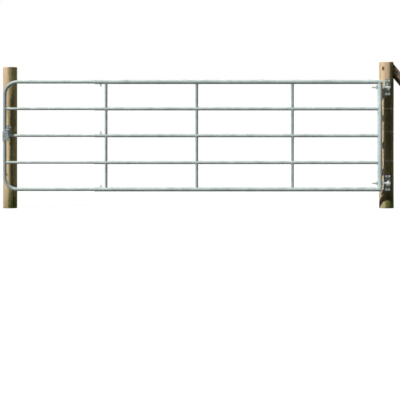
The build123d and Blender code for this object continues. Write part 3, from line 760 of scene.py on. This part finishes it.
def thread_tree():
    """A threaded bar along each point's facing: a grid rolled up, whose radius follows the thread
    and is nothing in the end rows, which closes the bar."""
    tree, given = geometry_tree("screw_threads", (
        "Thread Radius", "Thread Pitch", "Thread Depth", "Bar Length"))
    length, pitch = given["Bar Length"], given["Thread Pitch"]
    rows = times(tree, reckon(tree, "DIVIDE", length, pitch), 5.0)
    rows = made(tree, "FunctionNodeFloatToInt", {0: rows})
    feeds = {"Size X": length, "Size Y": full_turn, "Vertices X": rows, "Vertices Y": 25}
    sheet = made(tree, "GeometryNodeMeshGrid", feeds)
    flat = step(tree, "ShaderNodeSeparateXYZ", {0: made(tree, "GeometryNodeInputPosition")})
    run = plus(tree, flat.outputs[0], times(tree, length, 0.5))
    turn = flat.outputs[1]
    phase = reckon(tree, "SUBTRACT", reckon(tree, "DIVIDE", run, pitch), times(tree, turn, 1 / full_turn))
    cut = times(tree, times(tree, reckon(tree, "PINGPONG", phase, 0.5), 2.0), given["Thread Depth"])
    past_start = reckon(tree, "GREATER_THAN", run, 0.00001)
    before_end = reckon(tree, "LESS_THAN", run, reckon(tree, "SUBTRACT", length, 0.00001))
    round_r = reckon(tree, "SUBTRACT", given["Thread Radius"], cut)
    round_r = times(tree, round_r, times(tree, past_start, before_end))
    bar = rolled_sheet(tree, sheet, run, turn, round_r)
    stand_on_points(tree, given, bar, spun=False, smooth=True)
    return tree


bead_along = weld_tree()
hexagon_heads = screw_head_tree()
screw_threads = thread_tree()


def points_mesh(name, places):
    """Loose points, each with the direction that what stands on it faces."""
    mesh = bpy.data.meshes.new(name)
    mesh.from_pydata([place for place, facing in places], [], [])
    store = mesh.attributes.new("facing", "FLOAT_VECTOR", "POINT")
    store.data.foreach_set("vector", [part for place, facing in places for part in facing])
    return mesh


def paths_mesh(name, loops, closed=True):
    """Lines of edges, one for each list of points."""
    points, edges = [], []
    for loop in loops:
        first = len(points)
        points += loop
        edges += [(first + i, first + i + 1) for i in range(len(loop) - 1)]
        if closed:
            edges.append((len(points) - 1, first))
    mesh = bpy.data.meshes.new(name)
    mesh.from_pydata(points, edges, [])
    return mesh


# Welds
proud = 0.0006
coarse = {"pitch": 0.0040, "seed": 8}


def bead(radius, pitch=0.0034, seed=4):
    return {
        "Bead Radius": radius, "Ripple Pitch": pitch, "Ripple Depth": 0.16, "Point Pitch": 0.0011,
        "Seed": seed, "Finish": weld_finish}


def weld(name, loops, values, body):
    grow(bead_along, name, paths_mesh(name + "_lines", loops), values, body)


def on_gate(x, z):
    """A point in the gate's middle plane."""
    return Vector((x, gate_y, z))


def round_angles(count):
    return [full_turn * i / count for i in range(count)]


def saddle(centre, tube_r, rail_r, along, rail_dir, least=0.0):
    """Line where a tube that runs along one way meets a rail's round side."""
    across = along.cross(rail_dir)
    found = []
    for turn in round_angles(48):
        aside = tube_r * sin(turn)
        rise = sqrt(max(rail_r ** 2 - aside ** 2, least ** 2))
        found.append(centre + rail_dir * (tube_r * cos(turn)) + across * aside + along * rise)
    return found


rail_sides = [(bottom_z, main_r, up), (top_z, main_r, -up)]
rail_sides += [(z, inner_r, way) for z in inner_z for way in (up, -up)]
upright_welds = [
    saddle(on_gate(x, z), upright_r + proud, r + proud, way, right)
    for x in upright_x for z, r, way in rail_sides]
stile_welds = [saddle(on_gate(stile_x, z), inner_r + proud, stile_r + proud, -right, up) for z in inner_z]
stile_welds += [
    saddle(on_gate(stile_x, z), stile_r + proud, main_r + proud, way, right, least=0.0105)
    for z, way in ((bottom_z, up), (top_z, -up))]
slide_welds = [saddle(on_gate(latch_stile_x, z), slide_r + proud, bent_r + proud, right, up) for z in inner_z]
weld("upright_welds", upright_welds, bead(0.0019), "leaf")
weld("stile_welds", stile_welds, bead(0.0024, **coarse), "leaf")
weld("slide_welds", slide_welds, bead(0.0019), "extension")

# Caps on the right-hand ends of the top and bottom rails
cap_x = span("rail_end_caps")[1].x - 0.003
cap_r = main_r - 0.0004
cap_welds = [
    [Vector((cap_x, gate_y + cap_r * cos(t), z + cap_r * sin(t))) for t in round_angles(48)]
    for z in (bottom_z, top_z)]
weld("cap_welds", cap_welds, bead(0.0011), "leaf")

# Lugs and ribs on the hinge plates; the lower lug is under its eye and the upper one over it
lug_gap, lug_thick, lug_half = 0.0128, 0.012, 0.020
rib_length, rib_half = 0.037, 0.004
lug_welds = []
for eye, way in ((eye_levels[0], -1), (eye_levels[1], 1)):
    near, far = eye + way * lug_gap, eye + way * (lug_gap + lug_thick)
    tip = far + way * rib_length
    lug_welds.append([Vector((x, plate_front_y, z)) for x, z in (
        (-lug_half, near), (lug_half, near), (lug_half, far), (rib_half, far), (rib_half, tip),
        (-rib_half, tip), (-rib_half, far), (-lug_half, far))])
weld("lug_welds", lug_welds, bead(0.0026, **coarse), "posts")

# Legs of the staple on its plate
staple_half, bar_half = 0.017, 0.004
square = ((-1, -1), (1, -1), (1, 1), (-1, 1))
staple_welds = [
    [Vector((leg_x + a * bar_half, striker_front_y, striker_z + b * bar_half)) for a, b in square]
    for leg_x in (latch_post_x - staple_half, latch_post_x + staple_half)]
weld("staple_welds", staple_welds, bead(0.0016), "posts")


# Forged and turned pieces
def merged(mesh, distance):
    """The mesh's shape with its doubles merged."""
    shape = bmesh.new()
    shape.from_mesh(mesh)
    bmesh.ops.remove_doubles(shape, verts=shape.verts, dist=distance)
    return shape


def add_piece(name, points, faces, finish, body, smooth_angle=35.0):
    """A mesh on a body, smooth but for the edges sharper than the angle."""
    mesh = bpy.data.meshes.new(name)
    mesh.from_pydata(points, [], faces)
    shape = merged(mesh, 0.000002)
    bmesh.ops.dissolve_degenerate(shape, edges=shape.edges, dist=0.000002)
    shape.to_mesh(mesh)
    shape.free()
    mesh.validate()
    mesh.shade_smooth()
    mesh.set_sharp_from_angle(angle=radians(smooth_angle))
    mesh.materials.append(finish)
    piece = put(name, mesh)
    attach(piece, body)
    return piece


def eased_copy(node, width):
    """A CAD node with doubles merged and sharp edges broken, to stand for it."""
    shape = merged(nodes[node].data, 0.000005)
    bmesh.ops.dissolve_limit(shape, angle_limit=radians(1.0), verts=shape.verts, edges=shape.edges)
    shape.verts.index_update()
    points = [vert.co.copy() for vert in shape.verts]
    faces = [[vert.index for vert in face.verts] for face in shape.faces]
    shape.free()
    plain = bpy.data.meshes.new(node + "_plain")
    plain.from_pydata(points, [], faces)
    maker = put(node + "_maker", plain)
    easing = maker.modifiers.new("eased_edges", "BEVEL")
    easing.width = width
    easing.segments = 2
    easing.limit_method = "ANGLE"
    easing.angle_limit = radians(38)
    easing.use_clamp_overlap = True
    eased = made_plain(maker)
    points = [vert.co.copy() for vert in eased.vertices]
    faces = [list(face.vertices) for face in eased.polygons]
    piece = add_piece(node + "_eased", points, faces, finish_of[node], nodes[node]["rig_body"], 50.0)
    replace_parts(piece, node)


for node in ("hinge_plates", "latch_striker", "latch_bracket", "latch_hook"):
    eased_copy(node, 0.0007)
eased_copy("rail_end_caps", 0.0008)
eased_copy("latch_pivot_pin", 0.0006)


def turned(profile, sides, place, closed):
    """Points and faces of a profile (radius, height) turned about an axis."""
    points, faces, count = [], [], len(profile)
    for turn in round_angles(sides):
        points += [place(r, turn, h) for r, h in profile]
    for i in range(sides):
        here, there = i * count, (i + 1) % sides * count
        for k in range(count if closed else count - 1):
            after = (k + 1) % count
            faces.append((here + k, there + k, there + after, here + after))
    return points, faces


def rounded_ring(inner, outer, half, edge, lip=0.001):
    """Section of a ring with rounded outer edges, as a loop up its outside."""
    quarter = (0.0, 0.4, 0.8, 1.2, pi / 2)
    loop = [(inner, -half + lip), (inner + lip, -half)]
    loop += [(outer - edge + edge * sin(t), -half + edge - edge * cos(t)) for t in quarter]
    loop += [(outer - edge + edge * cos(t), half - edge + edge * sin(t)) for t in quarter]
    return loop + [(inner + lip, half), (inner, half - lip)]


pin_x = middle("hinge_pins").x
eye_r, bolt_r, pin_gap_r, eye_edge = 0.021, 0.010, 0.0104, 0.0045
neck_end_x = pin_x - 0.034
eye_section = rounded_ring(pin_gap_r, eye_r, eye_height / 2, eye_edge)
neck_profile = [
    (0.0, 0.0175), (0.0118, 0.0175), (0.0118, 0.0215), (0.0108, 0.0265), (0.0098, 0.0300),
    (0.0098, 0.0345), (0.0, 0.0345)]


def round_pin(eye):
    return lambda r, t, h: Vector((pin_x + r * cos(t), gate_y + r * sin(t), eye + h))


def along_bolt(eye):
    return lambda r, t, h: Vector((pin_x - h, gate_y - r * cos(t), eye + r * sin(t)))


eye_points, eye_faces = [], []
for eye in eye_levels:
    for points, faces in (
            turned(eye_section, 40, round_pin(eye), closed=True),
            turned(neck_profile, 28, along_bolt(eye), closed=False)):
        start = len(eye_points)
        eye_points += points
        eye_faces += [tuple(start + k for k in face) for face in faces]
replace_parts(add_piece("forged_eyes", eye_points, eye_faces, bolt_finish, "leaf"), "eye_bolts")

# Screws and threads
seat_gap = 0.0003
thread = {
    "Thread Radius": bolt_r, "Thread Pitch": 0.0025, "Thread Depth": 0.0014,
    "Bar Length": neck_end_x - span("eye_bolts")[0].x, "Seed": 0, "Finish": bolt_finish}
bolt_starts = [(on_gate(neck_end_x, eye), -right) for eye in eye_levels]
grow(screw_threads, "eye_bolt_threads", points_mesh("eye_bolt_starts", bolt_starts), thread, "leaf")


def hexagons(name, places, body, seed, across, height, washer, chamfer=None, replaced=None):
    """Heads or nuts, each on its washer (radius, thickness), for a CAD node if one is named."""
    washer_r, thick = washer
    values = {
        "Across Flats": across, "Head Height": height - thick, "Chamfer": chamfer or 0.1 * across,
        "Washer Radius": washer_r, "Washer Thickness": thick, "Seed": seed, "Finish": bolt_finish}
    piece = grow(hexagon_heads, name, points_mesh(name + "_places", places), values, body)
    if replaced:
        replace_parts(piece, replaced)


nut_places = [
    (on_gate(stile_x + way * (stile_r + seat_gap), eye), way * right)
    for eye in eye_levels for way in (-1, 1)]
hexagons(
    "eye_bolt_nut_hexagons", nut_places, "leaf", seed=11, across=0.030, height=0.016,
    washer=(0.0165, 0.0025), replaced="eye_bolt_nuts")

lock_x = middle("lock_screws").x
lock_rails = ((bottom_z, main_r, 1), (inner_z[1], inner_r, 1), (top_z, main_r, -1))
lock_nut_height, lock_neck = 0.009, 0.008
lock_thread = {
    **thread, "Thread Radius": 0.005, "Thread Pitch": 0.0015, "Thread Depth": 0.0008,
    "Bar Length": lock_neck + 0.003}
lock_nut_places = [(on_gate(lock_x, z + way * (r + seat_gap)), way * up) for z, r, way in lock_rails]
lock_neck_places = [(place + lock_nut_height * facing, facing) for place, facing in lock_nut_places]
lock_head_places = [(place + lock_neck * facing, facing) for place, facing in lock_neck_places]
lock_thread_places = [(place - 0.002 * facing, facing) for place, facing in lock_neck_places]
# The middle ring of weld is measured from the bottom rail too, which leaves it nearly flat
ring_axes = (bottom_z, bottom_z, top_z)
lock_welds = []
for axis_z, (place, facing) in zip(ring_axes, lock_nut_places):
    reach = abs(place.z - axis_z) - seat_gap
    centre = place - facing * (reach + seat_gap)
    lock_welds.append(saddle(centre, 0.0100, reach + 0.0004, facing, right))
hexagons(
    "lock_nut_hexagons", lock_nut_places, "leaf", seed=6, across=0.019, height=lock_nut_height,
    washer=(0.0090, 0.0008), replaced="lock_nuts")
hexagons(
    "lock_screw_heads", lock_head_places, "leaf", seed=3, across=0.017, height=0.007,
    washer=(0.0080, 0.0008), replaced="lock_screws")
grow(screw_threads, "lock_screw_threads", points_mesh("lock_screw_necks", lock_thread_places), lock_thread,
     "leaf")
weld("lock_nut_welds", lock_welds, bead(0.0016), "leaf")

latch_plate_front_y = gate_y - bent_r - 0.0053
latch_bolt_z = middle("latch_bracket_bolts").z
latch_bolt_levels = (latch_bolt_z - 0.030, latch_bolt_z + 0.030)
latch_heads = [(Vector((latch_stile_x, latch_plate_front_y, z)), -back) for z in latch_bolt_levels]
latch_nuts = [(Vector((latch_stile_x, gate_y + bent_r + seat_gap, z)), back) for z in latch_bolt_levels]
hexagons(
    "latch_bolt_heads", latch_heads, "extension", seed=14, across=0.013, height=0.0055,
    washer=(0.0072, 0.0008), replaced="latch_bracket_bolts")
hexagons(
    "latch_bolt_nuts", latch_nuts, "extension", seed=15, across=0.013, height=0.0065,
    washer=(0.0072, 0.0012))


def plate_corners(centre_x, front_y, centre_z, hole):
    """The four screws of a plate, facing the front."""
    return [(Vector((centre_x + side * hole[0], front_y, centre_z + end * hole[1])), -back)
            for side in (-1, 1) for end in (-1, 1)]


hinge_screws = [place for eye in eye_levels for place in plate_corners(0.0, plate_front_y, eye, plate_hole)]
hexagons(
    "hinge_coach_screws", hinge_screws, "posts", seed=21, across=0.017, height=0.0095,
    washer=(0.0115, 0.002), chamfer=0.0016)
striker_screws = plate_corners(latch_post_x, striker_front_y, striker_z, striker_hole)
hexagons(
    "striker_coach_screws", striker_screws, "posts", seed=5, across=0.013, height=0.0078,
    washer=(0.0092, 0.002), chamfer=0.0016)

# Fence wire round the hinge post
wire_levels = (0.988, 0.760, 0.471)
wire_slope = 0.0015
tie_length, tie_twists = 0.034, 5
wire = {
    "Bead Radius": 0.00125, "Ripple Pitch": 1.0, "Ripple Depth": 0.0, "Point Pitch": 0.0022,
    "Seed": 1, "Finish": wire_finish}


def wire_turn(level, tie_angle):
    """One turn of wire drawn into the post."""
    found = []
    for i in range(97):
        angle = tie_angle + full_turn * i / 96
        dip = 0.0006 * sin(3 * angle + level * 40)
        z = level + wire_slope * cos(angle - tie_angle) + dip
        found.append(on_hinge_post(hinge_post_r - 0.0012, angle, z))
    return found


def wire_end(level, tie_angle, phase):
    """One of the two ends, twisted round each other along the post's side."""
    found = []
    for i in range(61):
        run = tie_length * i / 60
        turn = phase + full_turn * tie_twists * i / 60
        r = hinge_post_r - 0.0024 + 0.0012 * cos(turn)
        z = level + wire_slope + 0.0013 * sin(turn) - 0.18 * run
        found.append(on_hinge_post(r, tie_angle + run / hinge_post_r, z))
    return found


wires = []
for number, level in enumerate(wire_levels):
    tie_angle = 0.5 + 0.35 * number
    wires += [wire_turn(level, tie_angle), *[wire_end(level, tie_angle, phase) for phase in (0.0, pi)]]
grow(bead_along, "post_wires", paths_mesh("wire_lines", wires, closed=False), wire, "posts")


# Floor, light and camera
def emptied(owner):
    """The owner's node tree, cleared."""
    owner.use_nodes = True
    owner.node_tree.nodes.clear()
    return owner.node_tree


def seen_rays(tree):
    """1 for rays that show the background: the camera's, and those in gloss and glass."""
    rays = step(tree, "ShaderNodeLightPath").outputs
    first = reckon(tree, "MAXIMUM", rays["Is Camera Ray"], rays["Is Glossy Ray"])
    return reckon(tree, "MAXIMUM", first, rays["Is Transmission Ray"])


def floor_finish():
    """White to the camera, pale to the light, and it keeps the shadow."""
    finish = bpy.data.materials.new("pale_floor")
    tree = emptied(finish)
    seen = seen_rays(tree)
    shade = blend(tree, seen, (0.05, 0.05, 0.05), (0.12, 0.12, 0.12))
    grey = made(tree, "ShaderNodeBsdfDiffuse", {"Color": shade})
    glow = made(tree, "ShaderNodeEmission", {"Strength": times(tree, seen, 0.91)})
    both = made(tree, "ShaderNodeAddShader", {0: grey, 1: glow})
    step(tree, "ShaderNodeOutputMaterial", {0: both})
    return finish


def light_world():
    """White where it is seen, and a weak cool light on the object."""
    world = bpy.data.worlds.new("white_studio")
    scene.world = world
    tree = emptied(world)
    soft = {"Color": (0.90, 0.95, 1.0, 1.0), "Strength": 0.045}
    white = {"Color": (1.0, 1.0, 1.0, 1.0), "Strength": 1.0}
    soft, white = [made(tree, "ShaderNodeBackground", feeds) for feeds in (soft, white)]
    shown = made(tree, "ShaderNodeMixShader", {0: seen_rays(tree), 1: soft, 2: white})
    step(tree, "ShaderNodeOutputWorld", {0: shown})


def add_sun(name, energy, spread, from_way, colour=(1.0, 1.0, 1.0)):
    lamp = bpy.data.lights.new(name, "SUN")
    lamp.energy = energy
    lamp.angle = radians(spread)
    lamp.color = colour
    sun = put(name, lamp)
    sun.rotation_mode = "QUATERNION"
    sun.rotation_quaternion = from_way.to_track_quat("Z", "Y")


floor_half, floor_z = 70, -0.0005
floor_mesh = bpy.data.meshes.new("studio_floor")
corners = [(a * floor_half, b * floor_half, floor_z) for a, b in square]
floor_mesh.from_pydata(corners, [], [(0, 1, 2, 3)])
floor = put("studio_floor", floor_mesh)
floor_mesh.materials.append(floor_finish())
light_world()

# The key light is in front, high on the left; a weak one behind shows the far side
key_height, key_side = radians(41), radians(36)
key_level = -cos(key_height)
from_key = Vector((key_level * cos(key_side), key_level * sin(key_side), sin(key_height)))
add_sun("key_light", 4.0, 3.0, from_key, (1.0, 0.975, 0.94))
add_sun("rear_light", 1.6, 95.0, Vector((0.50, 0.70, 0.45)))

photo_side = 400
gate_metre_per_pixel = 0.009847
camera_distance, camera_height = 12.0, 0.75
gate_middle_x = -1.8545
bottom_rail_row = 189.3
film_width = 36.0
horizon_row = bottom_rail_row - (camera_height - bottom_z) / gate_metre_per_pixel
camera_data = bpy.data.cameras.new("photo_camera")
camera_data.sensor_width = film_width
camera_data.lens = film_width * camera_distance / gate_metre_per_pixel / photo_side
camera_data.shift_y = (horizon_row - photo_side / 2) / photo_side
camera = put("photo_camera", camera_data)
camera.location = (gate_middle_x, gate_y - camera_distance, camera_height)
camera.rotation_euler = (radians(90), 0.0, 0.0)
scene.camera = camera
scene.view_settings.view_transform = "Standard"
